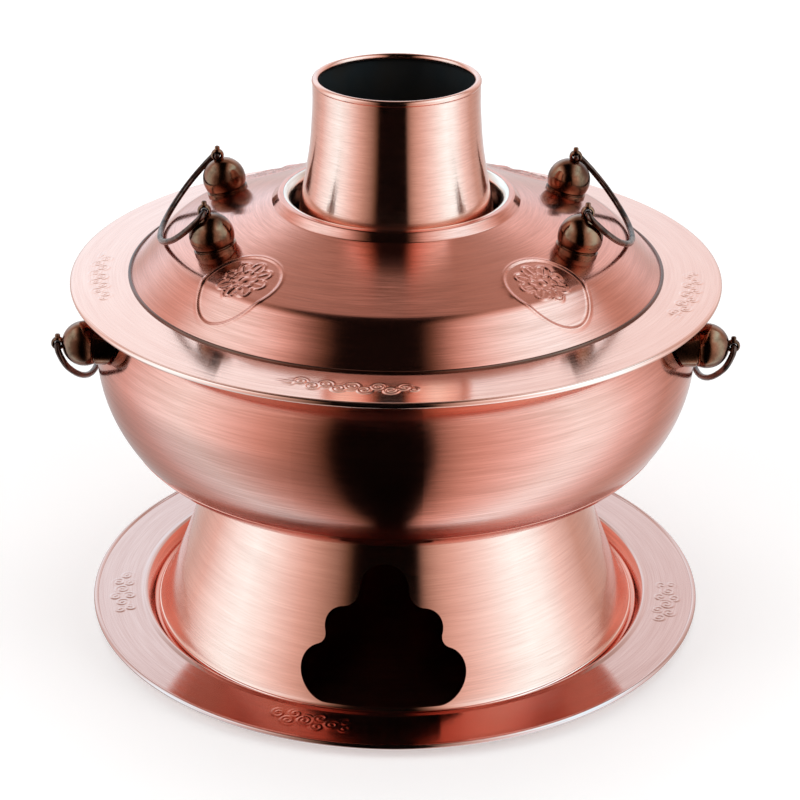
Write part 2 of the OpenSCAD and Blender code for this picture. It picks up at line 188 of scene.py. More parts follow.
def denseAngles(patches, fine, coarse):
    # angles every coarse degrees, and every fine degrees inside the patches (centre, half width)
    out, a = [], 0.0
    while a < 360 - 1e-6:
        out.append(a)
        near = any(abs((a - c + 180) % 360 - 180) < w for c, w in patches)
        a += fine if near else coarse
    return np.array(out)


def turnMatrix(axis, degrees):
    # Rodrigues' matrix for a turn about an axis
    k = np.asarray(axis, float)
    c, s = math.cos(math.radians(degrees)), math.sin(math.radians(degrees))
    cross = np.array([[0, -k[2], k[1]], [k[2], 0, -k[0]], [-k[1], k[0], 0]])
    return c * np.eye(3) + s * cross + (1 - c) * np.outer(k, k)


def finishPiece(name, shells, nodes, body, materials, sharpAngle=40):
    points, faces = merged(shells)
    obj = makeObject(name, points * mm, faces, sharpAngle)
    for m in materials:
        obj.data.materials.append(m)
    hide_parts(*nodes.split())
    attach(obj, body)
    print("piece", name, len(obj.data.polygons), "faces")
    return obj


# ---- shader node helpers ----

def newMaterial(name):
    mat = bpy.data.materials.new(name)
    mat.use_nodes = True
    return mat, mat.node_tree, mat.node_tree.nodes["Principled BSDF"]


def addNode(tree, kind, inputs=(), **settings):
    n = tree.nodes.new(kind)
    for key, value in settings.items():
        setattr(n, key, value)
    for key, value in dict(inputs).items():
        if isinstance(value, bpy.types.NodeSocket):
            tree.links.new(value, n.inputs[key])
        else:
            n.inputs[key].default_value = value
    return n


def mathNode(tree, operation, first, second=0.0, third=0.0):
    n = addNode(tree, "ShaderNodeMath", operation=operation)
    for socket, value in zip(n.inputs, (first, second, third)):
        if isinstance(value, bpy.types.NodeSocket):
            tree.links.new(value, socket)
        else:
            socket.default_value = value
    return n.outputs[0]


def mixColours(tree, factor, first, second):
    n = addNode(tree, "ShaderNodeMix", data_type="RGBA")
    for socket, value in ((n.inputs[0], factor), (n.inputs[6], first), (n.inputs[7], second)):
        if isinstance(value, bpy.types.NodeSocket):
            tree.links.new(value, socket)
        else:
            socket.default_value = value
    return n.outputs[2]


def mapRange(tree, value, fromLow, fromHigh, toLow=0.0, toHigh=1.0):
    n = addNode(tree, "ShaderNodeMapRange", {"Value": value, "From Min": fromLow, "From Max": fromHigh,
                                             "To Min": toLow, "To Max": toHigh})
    return n.outputs[0]


def makeSpunBrushing():
    # scratches that run round the pot's axis: noise that is long round the axis and short across it
    tree = bpy.data.node_groups.new("spunBrushing", "ShaderNodeTree")
    for name, value in (("Fineness", 1500.0), ("Length", 5.0)):
        tree.interface.new_socket(name, in_out="INPUT", socket_type="NodeSocketFloat").default_value = value
    for name in ("Streaks", "Bands", "Cloud"):
        tree.interface.new_socket(name, in_out="OUTPUT", socket_type="NodeSocketFloat")
    given = addNode(tree, "NodeGroupInput")
    coords = addNode(tree, "ShaderNodeTexCoord")
    xyz = addNode(tree, "ShaderNodeSeparateXYZ", {0: coords.outputs["Object"]})
    x, y, z = xyz.outputs
    flat = mathNode(tree, "ADD", mathNode(tree, "MULTIPLY", x, x), mathNode(tree, "MULTIPLY", y, y))
    r = mathNode(tree, "SQRT", mathNode(tree, "ADD", flat, 1e-8))
    east, north = mathNode(tree, "DIVIDE", x, r), mathNode(tree, "DIVIDE", y, r)

    def ringNoise(fineness, length, detail):
        place = addNode(tree, "ShaderNodeCombineXYZ", {
            "X": mathNode(tree, "MULTIPLY", east, length), "Y": mathNode(tree, "MULTIPLY", north, length),
            "Z": mathNode(tree, "MULTIPLY", z, fineness)})
        return addNode(tree, "ShaderNodeTexNoise", {
            "Vector": place.outputs[0], "W": mathNode(tree, "MULTIPLY", r, fineness), "Scale": 1.0,
            "Detail": detail, "Roughness": 0.6}, noise_dimensions="4D").outputs[0]

    fine, length = given.outputs["Fineness"], given.outputs["Length"]
    streaks = ringNoise(fine, length, 2.0)
    bands = ringNoise(mathNode(tree, "MULTIPLY", fine, 0.16), mathNode(tree, "MULTIPLY", length, 0.4), 3.0)
    cloud = addNode(tree, "ShaderNodeTexNoise", {"Vector": coords.outputs["Object"], "Scale": 14.0,
                                                 "Detail": 3.0})
    out = addNode(tree, "NodeGroupOutput")
    tree.links.new(streaks, out.inputs["Streaks"])
    tree.links.new(bands, out.inputs["Bands"])
    tree.links.new(cloud.outputs[0], out.inputs["Cloud"])
    return tree


spunBrushing = makeSpunBrushing()


def copperMaterial(name, light, deep, roughLow, roughHigh, coat, bump=0.06):
    # plated sheet: pale and deep copper in fine turned streaks under a thin clear lacquer
    mat, tree, shader = newMaterial(name)
    brush = addNode(tree, "ShaderNodeGroup", {}, node_tree=spunBrushing)
    streaks, bands, cloud = brush.outputs
    lines = mathNode(tree, "ADD", mathNode(tree, "MULTIPLY", streaks, 0.6),
                     mathNode(tree, "MULTIPLY", bands, 0.4))
    tree.links.new(mixColours(tree, mapRange(tree, lines, 0.36, 0.64), (*deep, 1), (*light, 1)),
                   shader.inputs["Base Color"])
    wear = mathNode(tree, "ADD", mathNode(tree, "MULTIPLY", streaks, 0.7),
                    mathNode(tree, "MULTIPLY", cloud, 0.3))
    tree.links.new(mapRange(tree, wear, 0.35, 0.65, roughHigh, roughLow), shader.inputs["Roughness"])
    shader.inputs["Metallic"].default_value = 1.0
    shader.inputs["Coat Weight"].default_value = coat
    shader.inputs["Coat Roughness"].default_value = 0.08
    shader.inputs["Anisotropic"].default_value = 0.9
    shader.inputs["Anisotropic Rotation"].default_value = 0.25
    tangent = addNode(tree, "ShaderNodeTangent", direction_type="RADIAL", axis="Z")
    tree.links.new(tangent.outputs[0], shader.inputs["Tangent"])
    relief = addNode(tree, "ShaderNodeBump", {"Strength": bump, "Distance": 0.0004, "Height": streaks})
    tree.links.new(relief.outputs[0], shader.inputs["Normal"])
    return mat


def plainMetal(name, light, deep, roughLow, roughHigh, scale, bump):
    # small cast or drawn metal pieces: two tones in soft mottling, with a fine grain
    mat, tree, shader = newMaterial(name)
    coords = addNode(tree, "ShaderNodeTexCoord")
    cloud = addNode(tree, "ShaderNodeTexNoise", {"Vector": coords.outputs["Object"], "Scale": scale,
                                                 "Detail": 5.0, "Roughness": 0.65}).outputs[0]
    grain = addNode(tree, "ShaderNodeTexNoise", {"Vector": coords.outputs["Object"], "Scale": scale * 12,
                                                 "Detail": 2.0}).outputs[0]
    tree.links.new(mixColours(tree, mapRange(tree, cloud, 0.38, 0.62), (*deep, 1), (*light, 1)),
                   shader.inputs["Base Color"])
    tree.links.new(mapRange(tree, cloud, 0.35, 0.65, roughHigh, roughLow), shader.inputs["Roughness"])
    shader.inputs["Metallic"].default_value = 1.0
    relief = addNode(tree, "ShaderNodeBump", {"Strength": bump, "Distance": 0.0003, "Height": grain})
    tree.links.new(relief.outputs[0], shader.inputs["Normal"])
    return mat


def blackInsideMaterial():
    # the chimney's inside: black and dull, with greyer patches
    mat, tree, shader = newMaterial("chimneyInsideBlack")
    coords = addNode(tree, "ShaderNodeTexCoord")
    cloud = addNode(tree, "ShaderNodeTexNoise", {"Vector": coords.outputs["Object"], "Scale": 60.0,
                                                 "Detail": 6.0}).outputs[0]
    tree.links.new(mixColours(tree, mapRange(tree, cloud, 0.4, 0.7), (0.003, 0.002, 0.0015, 1),
                              (0.013, 0.008, 0.005, 1)), shader.inputs["Base Color"])
    tree.links.new(mapRange(tree, cloud, 0.3, 0.7, 0.55, 0.9), shader.inputs["Roughness"])
    relief = addNode(tree, "ShaderNodeBump", {"Strength": 0.3, "Distance": 0.0006, "Height": cloud})
    tree.links.new(relief.outputs[0], shader.inputs["Normal"])
    return mat


copperPale = copperMaterial("copperPale", (0.90, 0.41, 0.30), (0.79, 0.34, 0.245), 0.11, 0.20, 0.4)
# a darker, redder copy of the pale copper, for the lid, the bowl and the tray: its darkening is partly
# painted shade, for the light falling off on the bowl
copperWithPaintedShade = copperMaterial("copperWithPaintedShade", (0.83, 0.295, 0.21), (0.65, 0.215, 0.145), 0.11, 0.20, 0.3)
# the lid's hem bead: near-black copper that is painted shadow of the gap under the lid's edge, not the
# metal's own tone
hemPaintedShadow = copperMaterial("hemPaintedShadow", (0.20, 0.075, 0.05), (0.09, 0.035, 0.022), 0.2, 0.3, 0.0)
# a paler copy of the copper, for the bowl's flat flange and the stand's foot bead: its paleness is partly
# painted highlight, for the whitened reflections on the flange
paleCopperPaintedHighlight = copperMaterial("paleCopperPaintedHighlight", (0.93, 0.48, 0.37), (0.85, 0.40, 0.30), 0.08, 0.16, 0.35, 0.03)
# a darker copy of the flange copper, for the tray's flat band: its darkening is partly painted shade
trayCopperPaintedShade = copperMaterial("trayCopperPaintedShade", (0.72, 0.40, 0.335), (0.64, 0.33, 0.27), 0.08, 0.16, 0.3, 0.03)
copperInner = copperMaterial("copperInner", (0.55, 0.28, 0.20), (0.40, 0.19, 0.13), 0.30, 0.45, 0.0)
steelCollar = copperMaterial("steelCollar", (0.96, 0.73, 0.62), (0.80, 0.60, 0.51), 0.10, 0.22, 0.0)
bronze = plainMetal("antiqueBronze", (0.32, 0.125, 0.068), (0.11, 0.04, 0.021), 0.10, 0.24, 90.0, 0.08)
wireMetal = plainMetal("darkWire", (0.16, 0.07, 0.05), (0.038, 0.02, 0.015), 0.14, 0.34, 140.0, 0.1)
steelSmall = plainMetal("plainSteel", (0.62, 0.61, 0.59), (0.45, 0.44, 0.43), 0.25, 0.4, 200.0, 0.1)
iron = plainMetal("sootyIron", (0.07, 0.062, 0.058), (0.025, 0.022, 0.02), 0.5, 0.8, 120.0, 0.5)
chimneyInsideBlack = blackInsideMaterial()
print("materials made")


# ---- reliefs ----

def ridge(distance, width):
    # a rounded ridge of that half width along the line where distance is nought
    return np.exp(-(distance / width) ** 2)


def fadeOut(distance, width):
    # 1 well inside the edge where distance is nought, 0 well outside it
    return 1 / (1 + np.exp(np.minimum(distance / width, 60)))


def rosette(u, v, look):
    # a pressed disc with two rounds of petals, their midribs and a domed heart
    high = v + look["lift"]
    rho, theta = np.hypot(u, high), np.arctan2(high, u)
    step = fullTurn / look["petals"]
    outer = ((theta + step / 2) % step) / step * 2 - 1
    inner = (theta % step) / step * 2 - 1
    outerEdge = look["outerFoot"] + look["outerRise"] * np.sqrt(1 - outer ** 2)
    innerEdge = look["innerFoot"] + look["innerRise"] * np.sqrt(1 - inner ** 2)
    lines = np.maximum(ridge(rho - outerEdge, look["line"]), ridge(rho - innerEdge, look["line"]))
    midrib = ridge(rho * np.sin(outer * step / 2), look["line"] * 0.7)
    lines = np.maximum(lines, midrib * (rho > innerEdge + 0.6) * (rho < outerEdge - 1.6))
    heart = np.sqrt(np.clip(1 - (rho / look["heart"]) ** 2, 0, 1))
    edge = np.hypot(u, v) - look["radius"]
    rim = ridge(edge, look["line"] * 1.5)
    disc = fadeOut(edge + 0.9, 0.22)
    flower = np.maximum(lines, heart) * (edge < -2)
    return look["height"] * flower + look["rim"] * rim - look["depth"] * disc


def scrollPatch(u, v, look):
    # curling clouds: spirals of ridges round a few hearts, fading at the patch's edge
    height = np.zeros_like(u)
    for x, y, size, hand in look["scrolls"]:
        dx, dy = u - x, v - y
        rho, theta = np.hypot(dx, dy), np.arctan2(dy, dx) * hand
        wave = np.cos(fullTurn * rho / look["pitch"] - theta)
        height = np.maximum(height, (0.5 + 0.5 * wave) * fadeOut(rho - size, 0.3))
    return look["height"] * height


lidLook = {
    "neck": [(55, 223.5), (57.4, 223.5), (60.6, 219.45), (112, 202.7), (117.2, 198.1)],
    "rounds": [1.6, 1.4, 12], "skirt": [(117.2, 198.1), (122.1, 193.5), (126.6, 189.1), (130.7, 185.2)],
    "sheet": 1.0, "bead": ((130.8, 185.44), 0.9), "cone": (60.5, 219.5, 0.3262),
    "fineBand": (82, 128, 0.62),
    "medallionAt": (226.3, 311.9, 48.7, 131.3), "medallionR": 104.8, "medallionHalf": 12.8, "reliefReach": 25,
    "rosette": {"radius": 20.0, "petals": 8, "outerFoot": 7.0, "outerRise": 5.6, "innerFoot": 3.3,
                "innerRise": 3.2, "heart": 2.3, "line": 0.42, "height": 0.45, "rim": 0.35, "depth": 0.4,
                "lift": 3.6},
}


def lidRelief(r, a, facing):
    # the relief of the medallions, each laid out along the lid and across it
    height, reach = np.zeros_like(r), lidLook["reliefReach"]
    for centre in lidLook["medallionAt"]:
        swing = (a - math.radians(centre) + np.pi) % fullTurn - np.pi
        u, v = swing * r, r - lidLook["medallionR"]
        near = (np.abs(u) < reach) & (np.abs(v) < reach) & (facing < 0)
        height += np.where(near, rosette(u, v, lidLook["rosette"]), 0)
    return height


def makeLid():
    bead, radius = lidLook["bead"]
    plain = joinLines(filletLine(lidLook["neck"], lidLook["rounds"]), splineLine(lidLook["skirt"], 6))
    fine = refineLine(plain, *lidLook["fineBand"])
    fine, plain = (line[line[:, 0] < bead[0] + 0.2][::-1] for line in (fine, plain))
    loop = sheetLoop(fine, lidLook["sheet"], plain)
    rim = arcPoints(bead, radius, 0, 360, 17)[:-1]
    angles = denseAngles([(c, lidLook["medallionHalf"]) for c in lidLook["medallionAt"]], 0.34, 1.8)
    shells = [spinShell(loop, angles, lidRelief), spinShell(rim, evenAngles(240))]
    obj = finishPiece("lidSheet", shells, "lid", "lid", [copperWithPaintedShade, hemPaintedShadow], 55)
    # the hem bead's faces take the painted gap shadow
    hemShadowFaces = np.arange(len(obj.data.polygons)) >= len(shells[0][1])
    obj.data.polygons.foreach_set("material_index", hemShadowFaces.astype(np.int32))
    return obj


collarLook = {"line": [(54.9, 223.45), (54.3, 223.45), (53.4, 223.1), (52.5, 222.3), (51.8, 221.3),
                       (51.4, 220.0), (51.4, 216), (51.4, 210)], "sheet": 0.95}


def makeCollar():
    line = splineLine(collarLook["line"], 4)
    return finishPiece("neckCollar", [spinShell(sheetLoop(line, collarLook["sheet"]), evenAngles(200))],
                       "lid_collar", "lid", [steelCollar])


ringLook = {"low": 177.0, "high": 187.7, "radius": 126.5, "sheet": 1.0}


def makeLidRing():
    r = ringLook["radius"]
    line = np.array([[r, ringLook["high"]], [r, 184], [r, 181], [r, ringLook["low"] + 0.5]])
    loop = sheetLoop(line[::-1], ringLook["sheet"])
    return finishPiece("lidRing", [spinShell(loop, evenAngles(240))], "lid_ring", "lid",
                       [copperInner])


bowlLook = {
    "flangeTop": (158.6, 183.1), "fold": ((129.4, 182.93), 1.4), "shoulder": ((107.4, 146), 42.6),
    "belly": ((78, 146), 72), "turn": ((112, 121), 30), "floor": [(93.1, 87.9), (57.1, 87.9)], "sheet": 1.0,
    "bead": ((158.6, 182.6), 1.4), "patchAt": (187.0, 262.5, 345.0, 86.0), "patchR": 145.6, "patchHalf": 12.4,
    "fineBand": (139.5, 151.8, 0.44), "flangeShares": (0, 0.017, 0.205, 0.685, 0.983),
    "flat": (128.0, 181.2, 190.0), "turnsAt": (59.2, -36.2, -79.25),
    "patch": {"pitch": 1.9, "height": 0.3, "scrolls": [
        (-23, -1.5, 3.4, 1), (-17.5, 1.6, 3.6, -1), (-11.5, -1.2, 3.9, 1), (-5.5, 1.8, 3.6, -1),
        (0, -1.0, 4.3, 1), (6, 1.8, 3.6, -1), (11.5, -1.4, 3.8, 1), (17.5, 1.5, 3.6, -1), (23, -1.2, 3.3, 1),
        (-27.5, 1.0, 2.2, 1), (27.5, 1.0, 2.2, -1)]},
}


def patchRelief(look):
    # the relief of the scroll patches, each laid out along the flange and across it
    halfLong, halfWide = 32, 9

    def relief(r, a, facing):
        height = np.zeros_like(r)
        for centre in look["patchAt"]:
            swing = (a - math.radians(centre) + np.pi) % fullTurn - np.pi
            u, v = swing * r, r - look["patchR"]
            near = (np.abs(u) < halfLong) & (np.abs(v) < halfWide) & (facing < 0)
            height += np.where(near, scrollPatch(u, v, look["patch"]), 0)
        return height
    return relief


def makeBowl():
    t = bowlLook["sheet"]
    shoulder, belly, turn = bowlLook["shoulder"], bowlLook["belly"], bowlLook["turn"]
    fold, foldRadius = bowlLook["fold"]
    upper, lower, last = bowlLook["turnsAt"]

    def wallLine(share, foldCount):
        # the fold, the shoulder, the belly and the turn, with that share of their full count of points
        return joinLines(arcPoints(fold, foldRadius, 90, 180 + upper, foldCount),
                         arcPoints(shoulder[0], shoulder[1] - t, upper, 0, int(22 * share)),
                         arcPoints(belly[0], belly[1] - t, 0, lower, int(16 * share)),
                         arcPoints(turn[0], turn[1] - t, lower, last, int(12 * share)), bowlLook["floor"])

    start, mouth = np.array(bowlLook["flangeTop"]), wallLine(1, 6)[0]
    flange = joinLines([start + (mouth - start) * share for share in bowlLook["flangeShares"]], [mouth])
    under = joinLines(flange[[0, 1, -2]], wallLine(1, 6))
    loop = sheetLoop(under, -t, joinLines(refineLine(flange, *bowlLook["fineBand"]), wallLine(0.6, 12)))
    bead, radius = bowlLook["bead"]
    rim = arcPoints(bead, radius, 0, 360, 17)[:-1]
    angles = denseAngles([(c, bowlLook["patchHalf"]) for c in bowlLook["patchAt"]], 0.2, 1.8)
    shells = [spinShell(loop, angles, patchRelief(bowlLook)), spinShell(rim, evenAngles(240))]
    obj = finishPiece("bowlSheet", shells, "bowl_rim bowl bowl_floor", "pot",
                      [copperWithPaintedShade, paleCopperPaintedHighlight])
    flangeFaces(obj, *bowlLook["flat"])
    return obj


trayLook = {
    "top": [(0, 1), (126.5, 1), (130.4, 8.6), (133.4, 7.75), (156.7, 6.9)], "rounds": [1.6, 1.7, 3],
    "sheet": 1.0, "bead": ((156.7, 6.4), 1.3), "flat": (129.8, 4.5, 12.0),
    "patchAt": (187.0, 350.0, 254.0), "patchR": 143.0, "patchHalf": 9.5, "fineBand": (134, 151.5, 0.55),
    "patch": {"pitch": 2.1, "height": 0.3, "scrolls": [
        (-17, -1.5, 3.4, 1), (-11, 2.4, 3.6, -1), (-9, -3.6, 3.2, 1), (-3, 0.2, 4.4, -1), (4, 3.6, 3.4, 1),
        (4, -3.4, 3.6, -1), (10.5, 0.6, 4.0, 1), (16, -2.6, 3.0, -1), (17.5, 2.4, 2.6, 1)]},
}


def makeTray():
    top = refineLine(filletLine(trayLook["top"], trayLook["rounds"]), *trayLook["fineBand"])
    under = (top - lineNormals(top) * trayLook["sheet"])[::-1]
    under[-1, 0] = 0
    loop = joinLines(top, lipPoints(under[0], top[-1])[::-1], under)
    bead, radius = trayLook["bead"]
    rim = arcPoints(bead, radius, 0, 360, 19)[:-1]
    angles = denseAngles([(c, trayLook["patchHalf"]) for c in trayLook["patchAt"]], 0.25, 1.8)
    shells = [spinShell(loop, angles, patchRelief(trayLook), closed=False), spinShell(rim, evenAngles(300))]
    obj = finishPiece("traySheet", shells, "tray", "tray", [copperWithPaintedShade, trayCopperPaintedShade])
    flangeFaces(obj, *trayLook["flat"])
    return obj


standLook = {
    "flange": [(79.2, 86.75), (92.0, 86.75), (93.4, 84.2)], "flangeRound": 1.6,
    "wall": [(93.4, 84.2), (95.2, 76), (98.0, 66), (100.4, 59), (102.9, 52), (105.2, 45), (107.7, 38),
             (110.3, 31), (113.2, 24), (115.6, 18), (118.2, 12), (120.2, 8), (122.4, 4.6), (123.9, 3.2)],
    "sheet": 1.2, "bead": ((123.2, 2.5), 1.2),
    "lobes": [((27, 18), 13), ((18.5, 39), 10), ((0, 57.8), 11.7)], "notches": (5.5, 9.0),
    "ventTurn": -2.8, "ventDepth": (-60, -150),
}


def touchingCentre(p, rp, q, rq, r):
    # the centre of a circle of radius r that touches two circles from outside, on their right
    p, q = np.asarray(p, float), np.asarray(q, float)
    d = np.linalg.norm(q - p)
    u = (q - p) / d
    along = (d * d + (rp + r) ** 2 - (rq + r) ** 2) / (2 * d)
    return p + u * along + np.array([u[1], -u[0]]) * math.sqrt((rp + r) ** 2 - along ** 2)


def cloudOutline():
    # half of the vent: three lobes, with a small concave round between each two, then its mirror image
    lobes, rounds = standLook["lobes"], standLook["notches"]
    notches = [touchingCentre(*a, *b, r) for a, b, r in zip(lobes, lobes[1:], rounds)]

    def angleTo(origin, target):
        return math.degrees(math.atan2(target[1] - origin[1], target[0] - origin[0]))

    parts = []
    starts = [-90] + [angleTo(lobe[0], n) for lobe, n in zip(lobes[1:], notches)]
    stops = [angleTo(lobe[0], n) for lobe, n in zip(lobes, notches)] + [90]
    for k, (centre, radius) in enumerate(lobes):
        parts.append(arcPoints(centre, radius, starts[k], stops[k], 22))
        if k < len(notches):
            first = angleTo(notches[k], centre)
            swing = (angleTo(notches[k], lobes[k + 1][0]) - first) % 360 - 360
            parts.append(arcPoints(notches[k], rounds[k], first, first + swing, 12))
    half = joinLines(*parts)
    return joinLines(half, half[::-1][1:] * [-1, 1])


def ventPrism():
    # the vent's outline drawn out along Y and turned a little about the axis
    outline = cloudOutline()
    near, far = standLook["ventDepth"]
    turn = turnMatrix((0, 0, 1), standLook["ventTurn"])
    prism = np.concatenate([np.stack([outline[:, 0], 0 * outline[:, 0] + y, outline[:, 1]], -1)
                            for y in (near, far)]) @ turn.T
    n = len(outline)
    faces = [list(range(n)), list(range(2 * n - 1, n - 1, -1))]
    faces += [[i, i + n, (i + 1) % n + n, (i + 1) % n] for i in range(n)]
    return makeObject("ventCutter", prism * mm, [f[::-1] for f in faces])


def makeStand():
    line = joinLines(filletLine(standLook["flange"], [standLook["flangeRound"]]),
                     splineLine(standLook["wall"], 5))
    loop = sheetLoop(line, -standLook["sheet"])
    shells = [spinShell(loop, evenAngles(300))]
    obj = finishPiece("standSheet", shells, "stand", "pot", [copperPale])
    cutter = ventPrism()
    cut = obj.modifiers.new("vent", "BOOLEAN")
    cut.operation, cut.object, cut.solver = "DIFFERENCE", cutter, "EXACT"
    bpy.context.view_layer.update()
    mesh = bpy.data.meshes.new_from_object(obj.evaluated_get(bpy.context.evaluated_depsgraph_get()))
    obj.modifiers.clear()
    obj.data = mesh
    mesh.shade_smooth()
    mesh.set_sharp_from_angle(angle=math.radians(35))
    bpy.data.objects.remove(cutter)
    bead, radius = standLook["bead"]
    points, faces = spinShell(arcPoints(bead, radius, 0, 360, 17)[:-1], evenAngles(300))
    foot = makeObject("standFoot", points * mm, faces)
    foot.data.materials.append(paleCopperPaintedHighlight)
    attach(foot, "pot")
    print("vent cut:", len(mesh.polygons), "faces")
    return obj


chimneyLook = {
    "line": [(48.2, 212), (47.7, 214.5), (47.1, 218), (46.5, 221.7), (45.4, 227), (44.2, 233), (43.0, 240),
             (42.2, 245), (41.4, 252), (40.8, 260), (40.35, 268), (40.3, 274), (40.3, 279.0)],
    "sheet": 1.0, "bead": ((38.9, 279.2), 1.7),
}


def makeChimney():
    line = splineLine(chimneyLook["line"], 5)
    loop = sheetLoop(line, chimneyLook["sheet"])
    bead, radius = chimneyLook["bead"]
    rim = arcPoints(bead, radius, 0, 360, 19)[:-1]
    obj = finishPiece("chimneySheet", [spinShell(loop, evenAngles(240)), spinShell(rim, evenAngles(240))],
                      "chimney", "chimney", [copperPale, chimneyInsideBlack])
    centre = np.array([p.center for p in obj.data.polygons])
    normal = np.array([p.normal for p in obj.data.polygons])
    inward = (centre[:, :2] * normal[:, :2]).sum(1) < -0.3 * np.linalg.norm(centre[:, :2], axis=1)
    below = centre[:, 2] < (chimneyLook["bead"][0][1] - 0.4) * mm
    obj.data.polygons.foreach_set("material_index", (inward & below).astype(np.int32))  # black inside
    return obj


tubeLook = {"low": (56.9, 83), "high": (44.3, 224), "sheet": 1.0, "bead": ((46.9, 209.5), 2.2)}


def makeFireTube():
    low, high = np.array(tubeLook["low"]), np.array(tubeLook["high"])
    line = low + (high - low) * np.linspace(0, 1, 30)[:, None]
    bead, radius = tubeLook["bead"]
    rim = arcPoints(bead, radius, 0, 360, 19)[:-1]
    shells = [spinShell(sheetLoop(line, tubeLook["sheet"]), evenAngles(200)), spinShell(rim, evenAngles(200))]
    return finishPiece("fireTube", shells, "fire_tube", "pot", [copperInner])


# ---- posts and bails ----

postLook = {
    "ball": 10.8, "cut": 4.8, "dimple": 0.35, "foot": 10.3, "neck": 9.5, "groove": 0.45, "shank": 2.0,
    "eyeOut": 12.7, "eyeRing": 2.42, "eyeWire": 0.84, "eyeWide": 1.9, "stub": 1.25, "stubTop": 4.8,
    "tilt": 14.0, "lidSpan": 40.0, "bowlSpan": 50.0, "lidBall": (87, 215.2), "bowlBall": (148.7, 163.6),
    "lidShank": 14.0, "bowlShank": 21.25,
}


def postPlaces(kind, sides=(-1, 1)):
    # the matrix and centre of each post of a kind, its own axis being +Z
    x, z = postLook[kind + "Ball"]
    tilt = postLook["tilt"] if kind == "lid" else 90
    return [(turnMatrix((0, 1, 0), s * tilt), np.array([s * x, y * postLook[kind + "Span"], z]))
            for s in sides for y in (-1, 1)]


def placed(shell, place):
    points, faces = shell
    turn, centre = place
    return points @ turn.T + centre, faces


def ballShell():
    # a sphere with a flat foot and a small dimple where the eye stands
    r, cut, dimple = postLook["ball"], postLook["cut"], postLook["dimple"]
    start = -math.degrees(math.asin(cut / r))
    side = arcPoints((0, 0), r, start, 79, 34)
    outline = joinLines([(0, -cut)], [(side[0, 0] - dimple, -cut)], side[1:],
                        [(1.4, r - dimple), (0, r - dimple)])
    return spinShell(outline, evenAngles(72), closed=False)


def lidSide(points):
    # height above the lid's cone along Z
    coneR, coneZ, slope = lidLook["cone"]
    return points[:, 2] - (coneZ - (np.hypot(points[:, 0], points[:, 1]) - coneR) * slope)


def bowlSide(points):
    # distance outside the bowl's shoulder
    (cr, cz), radius = bowlLook["shoulder"]
    return np.hypot(np.hypot(points[:, 0], points[:, 1]) - cr, points[:, 2] - cz) - radius


def footShell(place, surface):
    # a stepped ring whose lower edge is let down along its axis until it meets the sheet
    top, deep = -postLook["cut"] - 0.1, -20
    neck, foot = postLook["neck"], postLook["foot"]
    step = top - postLook["groove"]
    outline = [(0, top), (neck, top), (neck, step), (foot - 0.25, step), (foot, step - 0.2),
               (foot, step - 0.35), (foot, deep), (foot / 2, deep), (0, deep)]
    points, faces = spinShell(outline, evenAngles(72), closed=False)
    low = points[:, 2] < deep + 1
    turn, centre = place
    depth = np.full(low.sum(), step - 0.5)
    for _ in range(30):  # step down the axis by most of the height that is left
        points[low, 2] = depth
        depth = depth - 0.7 * surface(points[low] @ turn.T + centre)
    points[low, 2] = depth + 0.03
    return points @ turn.T + centre, faces


def eyeShell(depth):
    # a ring standing on a shank: one torus, drawn out along its hole, and a turned rod
    out, ring, wire = postLook["eyeOut"], postLook["eyeRing"], postLook["eyeWire"]
    points, faces = spinShell(arcPoints((ring, 0), wire, 0, 360, 13)[:-1], evenAngles(40))
    standing = np.stack([points[:, 0], points[:, 2] * postLook["eyeWide"] / wire, points[:, 1] + out], -1)
    shank = postLook["shank"]
    top = out - ring - 0.2
    rod = joinLines([(0, -depth)], [(shank - 0.4, -depth)], [(shank, -depth + 0.5)], [(shank, top - 0.9)],
                    [(shank - 0.5, top)], [(0, top)])
    return [(standing, [f[::-1] for f in faces]), spinShell(rod, evenAngles(28), closed=False)]


def stubShell():
    # a short round pin that stands upright on the eye
    r, high, low = postLook["stub"], postLook["stubTop"], postLook["eyeRing"]
    outline = [(0, low), (r, low), (r, high - 0.6), (r - 0.2, high - 0.2), (r - 0.6, high), (0, high)]
    return spinShell(outline, evenAngles(24), closed=False)


def makePosts():
    for kind, body in (("lid", "lid"), ("bowl", "pot")):
        surface = lidSide if kind == "lid" else bowlSide
        places = postPlaces(kind)
        parts = [("Balls", "_balls", [placed(ballShell(), p) for p in places]),
                 ("Feet", "_feet", [footShell(p, surface) for p in places])]
        for side, sign in (("left", -1), ("right", 1)):
            sidePlaces = postPlaces(kind, (sign,))
            shells = [placed(s, p) for p in sidePlaces for s in eyeShell(postLook[kind + "Shank"])]
            shells += [placed(stubShell(), (np.eye(3), centre + turn @ [0, 0, postLook["eyeOut"]]))
                       for turn, centre in sidePlaces]
            parts.append(("Eyes" + side.capitalize(), "_eyes_" + side, shells))
        for title, node, shells in parts:
            finishPiece(kind + title, shells, kind + node, body, [bronze], 50)


bailLook = {
    "wire": 1.5, "bend": 3.0,
    "domeAlong": (0.0, 0.1, 0.4), "domeWide": (0.02, 0.6, 0.9),
    "lid": {"half": 46.5, "reach": 36.0, "turn": 37.7, "stub": 36.5, "drop": 45.1,
            "eye": (90.0724, 227.523)},
    "bowl": {"half": 55.0, "reach": 34.0, "turn": 45.0, "stub": 46.5, "drop": 108.9645,
             "eye": (161.4, 163.6)},
}


